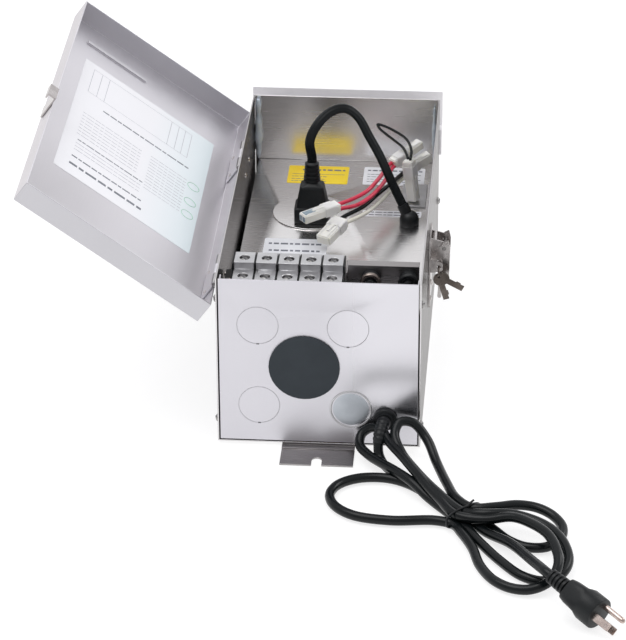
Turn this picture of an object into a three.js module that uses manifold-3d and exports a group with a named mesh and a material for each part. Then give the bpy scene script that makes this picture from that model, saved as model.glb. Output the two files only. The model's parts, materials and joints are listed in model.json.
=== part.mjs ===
// Low-voltage lighting power centre, lying on its back with the door open.
// Millimetres. +Z is out of the case's front, +Y towards its top end, +X to its latch side.
// z = 0 is the wall plane that the mounting tab and the hanger plate sit on.
import * as THREE from 'three';
import { mergeVertices } from 'three/addons/utils/BufferGeometryUtils.js';
import Module from 'manifold-3d';

const wasm = await Module();
wasm.setup();

// ---- driving dimensions -------------------------------------------------------------------
const WIDTH = 171.5; // case, outside
const HEIGHT = 361.5; // case, bottom plate to top wall
const STANDOFF = 3; // back panel above the wall plane
const RIM = 158.3; // z of the case's open rim
const SHEET = 1.2; // sheet steel thickness
const GAP = 0.3; // clearance between touching pieces
const CENTRE_X = WIDTH / 2;

const BIG_HOLE = { x: 73.8, z: 77, radius: 28 };
const GLAND = { x: 142, z: 30, holeRadius: 8 };
const KNOCKOUT = { radius: 17.45, groove: 0.5, depth: 0.6 }; // 1 inch trade size
const KNOCKOUTS = [
  { x: 35, z: 115.6 },
  { x: 35.6, z: 39.5 },
  { x: 110.5, z: 115 },
  { x: 113, z: 38 },
];

const DECK_TOP = 94;
const DECK = { x0: 4.2, x1: 167.3, y0: 8, y1: 359.7 };

const HINGE = { x: -4, z: 138.2, barrel: 2.3, bore: 1.3, pin: 1 };
const HINGE_LENGTH = 51;
const HINGE_Y = [28, 250]; // near end of each hinge
const DOOR_OPEN = THREE.MathUtils.degToRad(144);
const DOOR = { x0: -6.7, x1: 178.2, y0: -1.8, y1: 371.7, top: 160.6, depth: 20 };

const LUG_PITCH = 18.75;
const LUG_COUNT = 5;
const LUG_X0 = 10.8;
const TERMINAL = { y0: 27, step: 47.8, y1: 66.7, base: 118, body: 132, front: 143, back: 149.4 };
const BREAKERS = [
  { x: 126, z: 131.5, collar: 8.6 },
  { x: 158, z: 131.5, collar: 8.2 },
];
const BREAKER_PANEL_Y = 61;

const LATCH = { y: 158, y0: 136, y1: 174, wall: WIDTH + GAP, plate: 1.4 };
const LEVER_PIVOT = { x: 184.5, z: 116 };
const BAIL_PIVOT = { x: 181, z: 104 };
const BAIL = 33.6; // pivot to the middle of the bail's bar
const EAR_HOLE = { x: 180.5, z: 104, radius: 1.7 };
const RING = { radius: 4.5, wire: 0.7 };

const CORD_RADIUS = 4.15;

// ---- looks ----------------------------------------------------------------------------------
const STEEL = { color: 0xc9c6c8, roughness: 0.3, metalness: 1 };
const BRIGHT = { color: 0xdedbd8, roughness: 0.2, metalness: 1 };
const CORE_STEEL = { color: 0x55575c, roughness: 0.6, metalness: 0.8 };
const COPPER = { color: 0x9a5a34, roughness: 0.5, metalness: 0.6 };
const LUG_METAL = { color: 0xb9bbbd, roughness: 0.4, metalness: 1 };
const BLACK = { color: 0x191b1d, roughness: 0.5, metalness: 0 };
const RUBBER = { color: 0x141617, roughness: 0.6, metalness: 0 };
const NYLON = { color: 0xe9e7da, roughness: 0.5, metalness: 0 };
const RED = { color: 0xc8203a, roughness: 0.45, metalness: 0 };
const WHITE = { color: 0xe4e1cf, roughness: 0.45, metalness: 0 };

// ---- shape helpers --------------------------------------------------------------------------
function toSolid(geometry) {
  const bare = geometry.clone();
  bare.deleteAttribute('normal');
  bare.deleteAttribute('uv');
  const merged = mergeVertices(bare, 1e-4);
  return new wasm.Manifold(new wasm.Mesh({
    numProp: 3,
    vertProperties: new Float32Array(merged.attributes.position.array),
    triVerts: new Uint32Array(merged.index.array),
  }));
}

function toGeometry(solid) {
  const mesh = solid.getMesh();
  const geometry = new THREE.BufferGeometry();
  geometry.setAttribute('position', new THREE.BufferAttribute(mesh.vertProperties, 3));
  geometry.setIndex(new THREE.BufferAttribute(mesh.triVerts, 1));
  return geometry;
}

const join = (...geometries) => toGeometry(geometries.map(toSolid).reduce((a, b) => a.add(b)));

const cut = (body, ...tools) => toGeometry(
  tools.map(toSolid).reduce((rest, tool) => rest.subtract(tool), toSolid(body)),
);

const box = (x0, x1, y0, y1, z0, z1) => new THREE.BoxGeometry(x1 - x0, y1 - y0, z1 - z0)
  .translate((x0 + x1) / 2, (y0 + y1) / 2, (z0 + z1) / 2);

// A cylinder along Y from y0 to y1.
const rodY = (x, z, radius, y0, y1, sides = 24) => new THREE
  .CylinderGeometry(radius, radius, y1 - y0, sides)
  .translate(x, (y0 + y1) / 2, z);

// A cylinder along Z from z0 to z1.
const rodZ = (x, y, radius, z0, z1, sides = 24) => new THREE
  .CylinderGeometry(radius, radius, z1 - z0, sides)
  .rotateX(Math.PI / 2)
  .translate(x, y, (z0 + z1) / 2);

const vectors = (points) => points.map(([x, y, z]) => new THREE.Vector3(x, y, z));

// A round wire or cord along a smooth curve through the points.
function tube(points, radius, steps, sides = 8) {
  const curve = new THREE.CatmullRomCurve3(vectors(points), false, 'centripetal');
  const section = new THREE.Shape();
  section.absarc(0, 0, radius, 0, 2 * Math.PI, false);
  return new THREE.ExtrudeGeometry(section, {
    extrudePath: curve, steps, curveSegments: sides / 2, bevelEnabled: false,
  });
}

// A flat outline in the XZ plane, given thickness along Y from y0 to y1.
function slabXZ(outline, y0, y1) {
  const shape = new THREE.Shape(outline.map(([x, z]) => new THREE.Vector2(x, -z)));
  return new THREE.ExtrudeGeometry(shape, { depth: y1 - y0, bevelEnabled: false })
    .rotateX(-Math.PI / 2)
    .translate(0, y0, 0);
}

// A box with its own axis from one point to another, for connectors that lie at a slant.
function slantBox(start, end, width, height) {
  const from = new THREE.Vector3(...start);
  const to = new THREE.Vector3(...end);
  const along = to.clone().sub(from);
  const geometry = new THREE.BoxGeometry(along.length(), width, height);
  const xAxis = along.clone().normalize();
  const yAxis = new THREE.Vector3(0, 0, 1).cross(xAxis).normalize();
  const zAxis = xAxis.clone().cross(yAxis);
  const middle = from.add(to).multiplyScalar(0.5);
  return geometry.applyMatrix4(
    new THREE.Matrix4().makeBasis(xAxis, yAxis, zAxis).setPosition(middle),
  );
}

// The origin is on the hanger plate's wall face, above the middle of the case's back.
const ORIGIN = { x: CENTRE_X, y: HEIGHT - 20 };
const model = new THREE.Group();
model.position.set(-ORIGIN.x, -ORIGIN.y, 0);

function add(name, geometry, look, parent = model) {
  const mesh = new THREE.Mesh(geometry, new THREE.MeshStandardMaterial(look));
  mesh.name = name;
  parent.add(mesh);
  return mesh;
}

// ---- case -----------------------------------------------------------------------------------
function caseShell() {
  const outside = box(0, WIDTH, 0, HEIGHT, STANDOFF, RIM);
  const inside = box(SHEET, WIDTH - SHEET, -1, HEIGHT + 1, STANDOFF + SHEET, RIM + 1);
  return cut(outside, inside);
}

// The line scored round a conduit knockout's blank, as a tool to cut with.
function knockoutGroove({ x, z }) {
  const { radius, groove, depth } = KNOCKOUT;
  return cut(
    rodY(x, z, radius + groove / 2, -1, depth, 32),
    rodY(x, z, radius - groove / 2, -2, depth + 1, 32),
  );
}

function bottomPlate() {
  const x0 = 2.4;
  const x1 = WIDTH - 2.4;
  const z0 = STANDOFF + 2.3;
  const plate = join(
    box(x0, x1, 0, SHEET, z0, RIM),
    box(x0, x0 + SHEET, 0, 16, z0, RIM - 4),
    box(x1 - SHEET, x1, 0, 16, z0, RIM - 4),
  );
  return cut(
    plate,
    rodY(BIG_HOLE.x, BIG_HOLE.z, BIG_HOLE.radius, -1, 3, 40),
    rodY(GLAND.x, GLAND.z, GLAND.holeRadius, -1, 3, 24),
    ...KNOCKOUTS.map(knockoutGroove),
  );
}

// A cup-shaped closing plug: a flange outside and a short wall through the hole.
function holePlug() {
  const flange = BIG_HOLE.radius + 1.9;
  const wall = BIG_HOLE.radius - GAP;
  const profile = [[0, 0], [flange, 0], [flange, 1.3], [wall, 1.3], [wall, 9], [wall - 1.6, 9],
    [wall - 1.6, 2], [0, 2]];
  const points = profile.map(([r, y]) => new THREE.Vector2(r, y));
  return new THREE.LatheGeometry(points, 40).translate(BIG_HOLE.x, -1.3 - GAP, BIG_HOLE.z);
}

function topWall() {
  const x0 = SHEET + GAP;
  const x1 = WIDTH - SHEET - GAP;
  return box(x0, x1, HEIGHT - SHEET, HEIGHT, STANDOFF + SHEET + GAP, RIM);
}

// The hood is a Z-section behind the top wall; the door's top flange drops into its channel.
function rainHood() {
  const near = HEIGHT + GAP;
  const lip = 373;
  const floor = 126;
  return join(
    box(-1.5, WIDTH + 2, near, near + SHEET, floor - 24, floor + SHEET),
    box(-1.5, WIDTH + 2, near, lip + SHEET, floor, floor + SHEET),
    box(-1.5, WIDTH + 2, lip, lip + SHEET, floor, RIM + 2.4),
  );
}

function deck() {
  const plate = join(
    box(DECK.x0, DECK.x1, DECK.y0, DECK.y1, DECK_TOP - SHEET, DECK_TOP),
    box(DECK.x0, DECK.x0 + SHEET, DECK.y0 + 12, DECK.y1, STANDOFF + SHEET + GAP, DECK_TOP),
    box(DECK.x1 - SHEET, DECK.x1, DECK.y0 + 12, DECK.y1, STANDOFF + SHEET + GAP, DECK_TOP),
    rodZ(60.6, 251, 34, DECK_TOP - SHEET, DECK_TOP + 1.6, 40),
  );
  return cut(
    plate,
    rodZ(60.6, 251, 32, DECK_TOP - SHEET - 1, DECK_TOP + 0.4, 40),
    rodZ(150, 235, 7.2, DECK_TOP - 3, DECK_TOP + 3, 20),
  );
}

// The lower tab is stepped down from the back panel and has a slot open at its end.
function mountingTab() {
  const half = 31;
  const x0 = CENTRE_X - half;
  const x1 = CENTRE_X + half;
  const under = STANDOFF - GAP;
  const tab = join(
    box(x0, x1, -6, 24, under - 1.5, under),
    box(x0, x1, -7.5, -5.5, 0, under),
    box(x0, x1, -32, -6, 0, 1.5),
  );
  return cut(
    tab,
    rodZ(CENTRE_X, -24, 4.3, -1, 3, 20),
    box(CENTRE_X - 4.3, CENTRE_X + 4.3, -33, -24, -1, 3),
  );
}

// The upper hanger rises past the top end, with a keyhole for the wall screw.
function hangerPlate() {
  const half = 31;
  const under = STANDOFF - GAP;
  const plate = box(CENTRE_X - half, CENTRE_X + half, HEIGHT - 40, HEIGHT + 34, 0, under);
  return cut(
    plate,
    rodZ(CENTRE_X, HEIGHT + 16, 6.5, -1, 4, 24),
    box(CENTRE_X - 3.2, CENTRE_X + 3.2, HEIGHT + 16, HEIGHT + 28, -1, 4),
  );
}

function transformerCore() {
  return join(
    box(28, 142, 118, 214, 26, 66),
    box(28, 42, 118, 214, STANDOFF + SHEET + GAP, 66),
    box(128, 142, 118, 214, STANDOFF + SHEET + GAP, 66),
  );
}

function transformerWinding() {
  const ring = box(58, 112, 104, 228, 8, 84);
  return cut(ring, box(50, 120, 118 - GAP, 214 + GAP, 26 - GAP, 66 + GAP));
}

add('case_shell', caseShell(), STEEL);
add('bottom_plate', bottomPlate(), STEEL);
add('hole_plug', holePlug(), BLACK);
add('top_wall', topWall(), STEEL);
add('rain_hood', rainHood(), STEEL);
add('deck', deck(), STEEL);
add('mounting_tab', mountingTab(), STEEL);
add('hanger_plate', hangerPlate(), STEEL);
add('transformer_core', transformerCore(), CORE_STEEL);
add('transformer_winding', transformerWinding(), COPPER);

// ---- door and hinges ------------------------------------------------------------------------
// The door is drawn closed, then its group is turned open about the hinge line.
const door = new THREE.Group();
door.position.set(HINGE.x, 0, HINGE.z);
door.rotation.y = -DOOR_OPEN;
model.add(door);
const onDoor = (geometry) => geometry.translate(-HINGE.x, 0, -HINGE.z);

function doorPan() {
  const { x0, x1, y0, y1, top, depth } = DOOR;
  return cut(
    box(x0, x1, y0, y1, top - depth, top),
    box(x0 + SHEET, x1 - SHEET, y0 + SHEET, y1 - SHEET, top - depth - 1, top - SHEET),
  );
}

// A strap on the latch side's flange, with a channel that the draw bail's bar pulls on.
function keeper() {
  const face = DOOR.x1 + GAP;
  const y0 = LATCH.y - 10;
  const y1 = LATCH.y + 10;
  const shelf = 134;
  return join(
    box(face, face + 1.5, y0, y1, shelf, 157),
    box(face, face + 8.5, y0, y1, shelf, shelf + 1.5),
    box(face + 7, face + 8.5, y0, y1, shelf, shelf + 5),
  );
}

// The case leaf stands on the left wall and carries the two end knuckles.
function hingeCaseLeaf(y0) {
  const third = HINGE_LENGTH / 3;
  const y1 = y0 + HINGE_LENGTH;
  const leafFace = -GAP;
  const leaf = join(
    box(leafFace - SHEET, leafFace, y0, y1, HINGE.z - 26, HINGE.z - 1),
    box(HINGE.x, leafFace, y0, y0 + third - GAP, HINGE.z - 1.6, HINGE.z - 0.4),
    box(HINGE.x, leafFace, y1 - third + GAP, y1, HINGE.z - 1.6, HINGE.z - 0.4),
    rodY(HINGE.x, HINGE.z, HINGE.barrel, y0, y0 + third - GAP, 20),
    rodY(HINGE.x, HINGE.z, HINGE.barrel, y1 - third + GAP, y1, 20),
  );
  return cut(leaf, rodY(HINGE.x, HINGE.z, HINGE.bore, y0 - 1, y1 + 1, 16));
}

// The door leaf is on the inner face of the door's flange, with the middle knuckle.
function hingeDoorLeaf(y0) {
  const third = HINGE_LENGTH / 3;
  const a = y0 + third;
  const b = y0 + 2 * third;
  const leafFace = DOOR.x0 + SHEET + GAP;
  const leaf = join(
    box(leafFace, leafFace + SHEET, y0, y0 + HINGE_LENGTH, HINGE.z + 3, HINGE.z + 20),
    box(leafFace, leafFace + SHEET, a, b, HINGE.z + 1, HINGE.z + 4),
    rodY(HINGE.x, HINGE.z, HINGE.barrel, a, b, 20),
  );
  return cut(leaf, rodY(HINGE.x, HINGE.z, HINGE.bore, a - 1, b + 1, 16));
}

add('door_pan', onDoor(doorPan()), STEEL, door);
add('keeper', onDoor(keeper()), BRIGHT, door);
HINGE_Y.forEach((y0, index) => {
  const tag = index + 1;
  add(`hinge_case_leaf_${tag}`, hingeCaseLeaf(y0), STEEL);
  add(`hinge_door_leaf_${tag}`, onDoor(hingeDoorLeaf(y0)), STEEL, door);
  add(`hinge_pin_${tag}`, rodY(HINGE.x, HINGE.z, HINGE.pin, y0, y0 + HINGE_LENGTH, 16), STEEL);
});

// ---- draw latch and keys ----------------------------------------------------------------------
// Half-widths about the latch's middle: each plate lies just outside the one before it.
const CHEEK = { inner: 7.8, outer: 9 };
const LEVER_SIDE = { inner: 9.3, outer: 10.5 };
const BAIL_ARM = { inner: 10.8, outer: 12.6 };

// The same flat outline on both sides of the latch's middle plane.
function pair(outline, { inner, outer }) {
  return [
    slabXZ(outline, LATCH.y - outer, LATCH.y - inner),
    slabXZ(outline, LATCH.y + inner, LATCH.y + outer),
  ];
}

const acrossLatch = ({ x, z }, radius, half, sides = 16) => (
  rodY(x, z, radius, LATCH.y - half, LATCH.y + half, sides)
);

// A riveted plate with two cheeks for the lever's pin and an ear for the key ring.
function latchBase() {
  const { wall, y, y0, y1, plate } = LATCH;
  const { x, z } = LEVER_PIVOT;
  const cheek = [[wall, 93], [x - 1, z - 6], [x + 2.4, z - 2], [x + 2.4, z + 3], [x - 1, z + 6],
    [wall, 125]];
  const ear = [[wall, 98], [180, 99], [184, 101], [184, 107], [180, 109], [wall, 110]];
  const base = join(
    box(wall, wall + plate, y0, y1, 64, 127),
    ...pair(cheek, CHEEK),
    slabXZ(ear, y0, y0 + SHEET),
    rodY(wall + 4.2, 122, 2, y - CHEEK.outer, y + CHEEK.outer, 12),
  );
  return cut(
    base,
    acrossLatch(LEVER_PIVOT, 1.8, 20),
    rodY(EAR_HOLE.x, EAR_HOLE.z, EAR_HOLE.radius, y0 - 1, y0 + 2, 16),
  );
}

// A channel that swings out and up on the base; its web stops short of the cheeks.
function latchLever() {
  const { x, z } = LEVER_PIVOT;
  const side = [[178.6, z - 17], [182, z - 26], [187.8, z - 28], [189, z - 25], [189.6, z + 1],
    [188, z + 8], [184, z + 6], [x - 3.9, z + 1]];
  const web = [[187.6, z - 29], [189, z - 29], [189.5, z - 4], [188.1, z - 4]];
  const { outer } = LEVER_SIDE;
  const lever = join(...pair(side, LEVER_SIDE), slabXZ(web, LATCH.y - outer, LATCH.y + outer));
  return cut(lever, acrossLatch(LEVER_PIVOT, 1.8, 20), acrossLatch(BAIL_PIVOT, 1.8, 20));
}

// The draw bail hangs from the lever's sides; its bar hooks over the keeper on the shut door.
function drawBail() {
  const { x, z } = BAIL_PIVOT;
  const arm = [[x - 2, z - 1], [x - 1, z + 2], [x + 1, z + 2], [x + 2, z - 1], [x + 1.2, z - BAIL],
    [x - 1.2, z - BAIL]];
  const stub = (y0, y1) => rodY(x, z, 1.5, y0, y1, 16);
  const { y } = LATCH;
  return join(
    ...pair(arm, BAIL_ARM),
    rodY(x, z - BAIL, 1.8, y - BAIL_ARM.outer, y + BAIL_ARM.outer, 16),
    stub(y - BAIL_ARM.inner - 1, y - LEVER_SIDE.inner),
    stub(y + LEVER_SIDE.inner, y + BAIL_ARM.inner + 1),
  );
}

// The ring hangs upright through the ear; the keys hang on its lowest point.
const keyRing = () => new THREE.TorusGeometry(RING.radius, RING.wire, 8, 28)
  .rotateY(Math.PI / 2)
  .translate(EAR_HOLE.x, LATCH.y0 + SHEET / 2, EAR_HOLE.z - RING.radius);

// A flat key hung by the hole in its bow; the blade points down (-Z) before it is tilted.
function key(bowRadius, bladeLength) {
  const half = 0.6;
  const tip = -2 * bowRadius - bladeLength;
  const flat = join(
    rodY(0, -bowRadius + 2, bowRadius, -half, half, 24),
    box(-2.6, 2.6, -half, half, tip, -bowRadius),
    box(-2.6, 3.6, -half, half, tip + 4, tip + 8),
  );
  return cut(flat, rodY(0, 0, 1.4, -2, 2, 12));
}

add('latch_base', latchBase(), BRIGHT);
add('latch_lever', latchLever(), BRIGHT);
add('draw_bail', drawBail(), BRIGHT);
add('lever_pin', acrossLatch(LEVER_PIVOT, 1.5, LEVER_SIDE.outer), BRIGHT);
add('key_ring', keyRing(), BRIGHT);
const KEYS = [
  { name: 'key_1', offset: -1, tilt: -62 },
  { name: 'key_2', offset: 1, tilt: -17 },
];
KEYS.forEach(({ name, offset, tilt }) => {
  const mesh = add(name, key(6, 12), BRIGHT);
  mesh.position.set(
    EAR_HOLE.x,
    LATCH.y0 + SHEET / 2 + offset,
    EAR_HOLE.z - 2 * RING.radius,
  );
  mesh.rotation.y = THREE.MathUtils.degToRad(tilt);
});

// ---- terminals and breakers -------------------------------------------------------------------
function terminalBase() {
  const { y0, y1, base, body } = TERMINAL;
  const end = LUG_X0 + LUG_COUNT * LUG_PITCH;
  const pieces = [box(LUG_X0 - 8, end, y0 - 2, y1 + 1, base, body)];
  for (let i = 0; i <= LUG_COUNT; i += 1) {
    const x = LUG_X0 + i * LUG_PITCH - 1.1;
    pieces.push(box(x, x + 1.1, y0 - 2, TERMINAL.step, body - 1, TERMINAL.front - 1));
    pieces.push(box(x, x + 1.1, TERMINAL.step - 1, y1 + 1, body - 1, TERMINAL.back - 1));
  }
  return join(...pieces);
}

// Each lug is stepped: a lower clamp in front and a higher one behind.
function terminalLug(index) {
  const x0 = LUG_X0 + index * LUG_PITCH + GAP;
  const x1 = x0 + LUG_PITCH - 1.1 - 2 * GAP;
  const middle = (x0 + x1) / 2;
  const { y0, step, y1, body, front, back } = TERMINAL;
  const lug = join(
    box(x0, x1, y0, step + 0.5, body + GAP, front),
    box(x0, x1, step, y1, body + GAP, back),
  );
  return cut(
    lug,
    rodZ(middle, 36.5, 4.4, front - 4, front + 1, 20),
    rodZ(middle, 57, 4.4, back - 4, back + 1, 20),
  );
}

// The terminal shelf and the breaker panel are one folded steel bracket.
function terminalBracket() {
  const y = BREAKER_PANEL_Y;
  const x0 = LUG_X0 + LUG_COUNT * LUG_PITCH + 1;
  const x1 = DECK.x1 - 0.5;
  const foot = DECK_TOP + GAP;
  const top = 143;
  const panel = join(
    box(x0, x1, y, y + SHEET, foot, top),
    box(x0, x1, y, y + 9, top - SHEET, top),
    box(x0, x1, y, y + 14, foot, foot + SHEET),
    box(x0, x0 + SHEET, y - 14, y + SHEET, foot, top),
    box(4.5, x0 + SHEET, 26, y + 8, TERMINAL.base - GAP - SHEET, TERMINAL.base - GAP),
    box(4.5, 4.5 + SHEET, 26, y + 8, foot, TERMINAL.base - GAP),
  );
  const holes = BREAKERS.map(({ x, z }) => rodY(x, z, 6.2, y - 3, y + 3, 20));
  return cut(panel, ...holes);
}

function breakerBody({ x, z, collar }) {
  const front = BREAKER_PANEL_Y - GAP;
  const back = BREAKER_PANEL_Y + SHEET + GAP;
  const body = join(
    rodY(x, z, collar, front - 7, front, 28),
    rodY(x, z, 5.8, front - 10, back + 1, 24),
    box(x - 8, x + 8, back, back + 30, z - 16, z + 9),
  );
  return cut(body, rodY(x, z, 4.6, front - 11, front - 1, 20));
}

const breakerButton = ({ x, z }) => rodY(x, z, 4.2, BREAKER_PANEL_Y - 13.5, BREAKER_PANEL_Y - 5, 20);

add('terminal_base', terminalBase(), BLACK);
for (let i = 0; i < LUG_COUNT; i += 1) {
  add(`terminal_lug_${i + 1}`, terminalLug(i), LUG_METAL);
}
add('terminal_bracket', terminalBracket(), STEEL);
BREAKERS.forEach((breaker, index) => {
  add(`breaker_${index + 1}`, breakerBody(breaker), BLACK);
  add(`reset_button_${index + 1}`, breakerButton(breaker), BLACK);
});

// ---- on the deck: timer plug, photocell jumper, connectors and wires ---------------------------
const ON_DECK = DECK_TOP + 1.6 + GAP;
const TIMER_PLUG = { x: 63, y: 238 };
const PLUG_TOP = 152;
const DOME = { x: 150, y: 235 };

// A moulded plug standing on its face, with a stepped body and a tapered ribbed neck.
function timerPlug() {
  const { x, y } = TIMER_PLUG;
  const side = (w0, z0, w1, z1) => [[x - w0, z0], [x + w0, z0], [x + w1, z1], [x - w1, z1]];
  return join(
    box(x - 16.5, x + 16.5, y - 12, y + 12, ON_DECK, 111),
    slabXZ(side(15.5, 110.5, 8.5, 131), y - 10, y + 10),
    rodZ(x, y, 7.2, 130, PLUG_TOP, 16),
  );
}

// The flat twin cord leaves the plug upward and arches over to the dome.
function timerCord() {
  const points = [[63, 238, PLUG_TOP + GAP], [63, 238, 156], [61, 240, 171], [67, 246, 184], [79, 256, 193],
    [91, 261, 194], [102, 262, 186], [113, 256, 169], [123, 250, 153], [132, 244, 135],
    [140, 240, 119], [145, 237, 110.5]];
  return tube(points, 4, 26);
}

function cordDome() {
  const { x, y } = DOME;
  const profile = [[0, 0], [6.9, 0], [6.9, 3.2], [9.4, 3.2], [9.4, 9], [7.6, 13.4], [4, 16], [0, 16]];
  const points = profile.map(([r, z]) => new THREE.Vector2(r, z));
  return new THREE.LatheGeometry(points, 20)
    .rotateX(Math.PI / 2)
    .translate(x, y, DECK_TOP - 2.9);
}

add('timer_plug', timerPlug(), BLACK);
add('timer_cord', timerCord(), BLACK);
add('cord_dome', cordDome(), RUBBER);

const JUMPER = { x: 152, y: 278 };
add('socket_plate', box(141, 163, 268, 312, DECK_TOP + GAP, DECK_TOP + GAP + 1.5), LUG_METAL);
add('jumper_connector', slantBox([152, 278, DECK_TOP + 2.8], [147, 280, 136], 10, 9), NYLON);
const JUMPER_WIRE = [[148.5, 279, 137.3], [149, 288, 141], [144, 305, 144], [134, 318, 145],
  [122, 328, 146], [116, 331, 146], [118, 327, 144], [124, 320, 142], [133, 310, 140],
  [141, 298, 139], [145.5, 284, 137.3]];
add('jumper_wire', tube(JUMPER_WIRE, 1.25, 44, 6), BLACK);

const CONNECTORS = [
  { name: 'connector_left_1', from: [58, 189, 120], to: [88, 212, 122], width: 11, height: 8 },
  { name: 'connector_left_2', from: [77, 175, 106], to: [92, 201, 113], width: 14, height: 9 },
  { name: 'connector_right_1', from: [131.5, 290, 127], to: [156, 315, 136], width: 9, height: 8 },
  { name: 'connector_right_2', from: [146, 293, 120.5], to: [165, 304, 129], width: 9, height: 9 },
];
CONNECTORS.forEach(({ name, from, to, width, height }) => {
  add(name, slantBox(from, to, width, height), NYLON);
});

const WIRES = [
  { name: 'red_wire_1', look: RED, path: [[90, 213.5, 123.5], [101, 219, 126], [112, 229, 128.5],
    [121, 250, 130], [129.5, 287, 127.5]] },
  { name: 'red_wire_2', look: RED, path: [[91.5, 210, 120.5], [104, 214, 122], [115, 225, 124.5],
    [125, 250, 125.5], [132.5, 287, 124.5]] },
  { name: 'black_wire', look: BLACK, path: [[94, 204.5, 115.5], [110, 219, 118.5], [122, 240, 121],
    [133, 263, 121], [143.5, 290.5, 119.5]] },
  { name: 'white_wire', look: WHITE, path: [[95.5, 200, 111.5], [112, 216, 113.5], [124, 237, 115],
    [134, 262, 116.5], [144.3, 289.5, 115.7]] },
];
WIRES.forEach(({ name, look, path }) => add(name, tube(path, 1.6, 14, 6), look));

// ---- mains lead -------------------------------------------------------------------------------
// The gland's ribbed boot bends down towards the surface that the case lies on.
const BOOT = [[GLAND.x, -1, GLAND.z], [140.6, -10, 30], [138.6, -18, 26], [137.6, -24, 19]];

function gland() {
  const profile = [[0, 0], [10, 0], [10, 3], [7.7, 3], [7.7, 6], [0, 6]];
  const points = profile.map(([r, y]) => new THREE.Vector2(r, y));
  const nut = new THREE.LatheGeometry(points, 20).translate(GLAND.x, -3 - GAP, GLAND.z);
  return join(nut, tube(BOOT, 6, 8, 10));
}

// The cord drops from the boot and runs under the bundle to the first loop.
const LEAD = [[137.6, -25.2, 17.6], [138.4, -29, 12], [141.6, -34.5, 8], [146.6, -41.8, 6.5]];

// The hank's outline on the surface: loops both sides of the tie at (213, -115).
const HANK = [[119, -20], [128, -34], [140, -49], [126, -51], [110, -57], [98, -71], [95, -90],
  [101, -108], [118, -121], [150, -128], [203, -128], [213, -160], [228, -198], [244, -219],
  [260, -222], [272, -213], [283, -204], [297, -196], [303, -178], [302, -155], [300, -122],
  [292, -106], [268, -93], [240, -98], [226, -93], [207, -70], [187, -20], [175, -5], [156, -5],
  [151, -16], [151, -38], [149, -47], [141, -46], [133, -36], [128, -24], [128, -10], [124, -5],
  [119, -9]];

function hank() {
  const shape = new THREE.Shape();
  shape.moveTo(...HANK[0]);
  shape.splineThru([...HANK.slice(1), HANK[0]].map(([x, y]) => new THREE.Vector2(x, y)));
  return new THREE.ExtrudeGeometry(shape, {
    depth: 22, curveSegments: 2, bevelEnabled: false,
  }).translate(0, 0, 0.5);
}

// The plug lies nose down. Its frame: forward along the contacts, up towards the earth pin.
const PLUG_AXIS = new THREE.Vector3(0.71, -0.67, -0.2).normalize();
const PLUG_FACE = new THREE.Vector3(324, -254, 15);
const PLUG_LENGTH = 54;
const EARTH = new THREE.Vector3(0.71, 0.28, 0.64);
const plugFrame = () => {
  const forward = PLUG_AXIS.clone();
  const side = EARTH.clone().cross(forward).normalize();
  const up = forward.clone().cross(side).normalize();
  return new THREE.Matrix4().makeBasis(side, up, forward).setPosition(PLUG_FACE);
};

// In the plug's own frame +Z is forward and z = 0 is the face; +Y is the earth pin's side.
function plugBody() {
  const round = (r0, r1, z0, z1) => new THREE.CylinderGeometry(r1, r0, z1 - z0, 20)
    .rotateX(Math.PI / 2)
    .translate(0, 0, (z0 + z1) / 2);
  return join(
    round(13.4, 13.4, -16, 0),
    round(8, 12.6, -34, -15),
    round(5.2, 6.6, -PLUG_LENGTH, -33),
  );
}

function plugContacts() {
  return join(
    box(-9, 9, -6.5, 9, GAP, 1),
    box(-7.1, -5.6, -6.6, -0.4, 0.8, 17),
    box(5.6, 7.1, -6.6, -0.4, 0.8, 17),
    new THREE.CylinderGeometry(2.4, 2.4, 20.2, 14).rotateX(Math.PI / 2).translate(0, 7.5, 10.9),
  );
}

const inPlug = (mesh) => mesh.applyMatrix4(plugFrame());

// The short free stretch between the hank and the plug's neck.
const TAIL = [PLUG_LENGTH + GAP, PLUG_LENGTH + 5]
  .map((back) => PLUG_FACE.clone().addScaledVector(PLUG_AXIS, -back).toArray());

add('gland', gland(), RUBBER);
add('cord_lead', tube(LEAD, CORD_RADIUS, 6, 8), BLACK);
add('cord_hank', hank(), BLACK);
add('cord_tail', tube(TAIL, CORD_RADIUS, 2, 8), BLACK);
inPlug(add('plug_body', plugBody(), BLACK));
inPlug(add('plug_contacts', plugContacts(), BRIGHT));

export default model;
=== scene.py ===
"""Looks for a low-voltage power centre: a stainless case, its wiring and a bundled mains lead."""
import json
import math

import bmesh
import bpy
from mathutils import Matrix, Vector


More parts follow.
